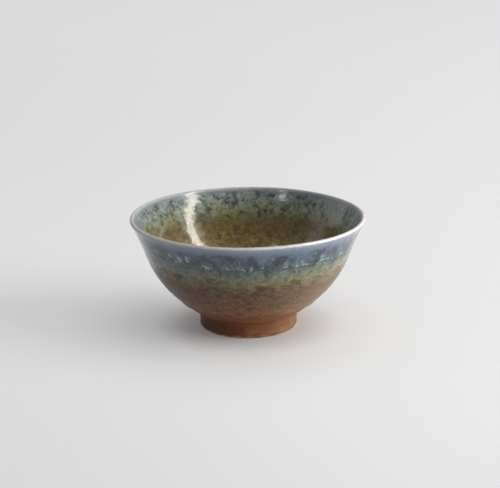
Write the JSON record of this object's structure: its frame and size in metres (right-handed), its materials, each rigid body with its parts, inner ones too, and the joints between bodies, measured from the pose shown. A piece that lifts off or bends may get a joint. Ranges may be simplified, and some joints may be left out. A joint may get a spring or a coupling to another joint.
{
  "type": "matcha bowl",
  "caption": "Footed stoneware tea bowl with a gently flared lip, a two-tone running glaze inside and out, and an iron-washed foot ring.",
  "frame": {"origin": "centre of the foot ring's resting face, at the middle of the bowl's base", "axes": "+Z is the throwing axis, from the table up to the mouth; the bowl is turned, so X and Y are any two level directions"},
  "size_m": [0.125, 0.125, 0.0606],
  "materials": {
    "stoneware": "bare fired pale stoneware, matt and slightly sandy",
    "foot_stoneware": "bare fired stoneware, toasted, matt",
    "slip": "fired clay slip, matt",
    "inside_glaze": "glossy amber and olive running glaze with dark iron spots",
    "outside_glaze": "glossy brown and olive running glaze with dark iron spots",
    "rim_glaze": "glossy slate blue glaze breaking to green speckles and pale drips",
    "iron_wash": "thin red-brown iron wash, satin"
  },
  "bodies": {
    "root": {"clay_bowl": "stoneware", "foot_ring": "foot_stoneware", "joint_slip": "slip", "inside_glaze": "inside_glaze", "outside_glaze": "outside_glaze", "rim_glaze": "rim_glaze", "foot_wash": "iron_wash"}
  },
  "joints": []
}
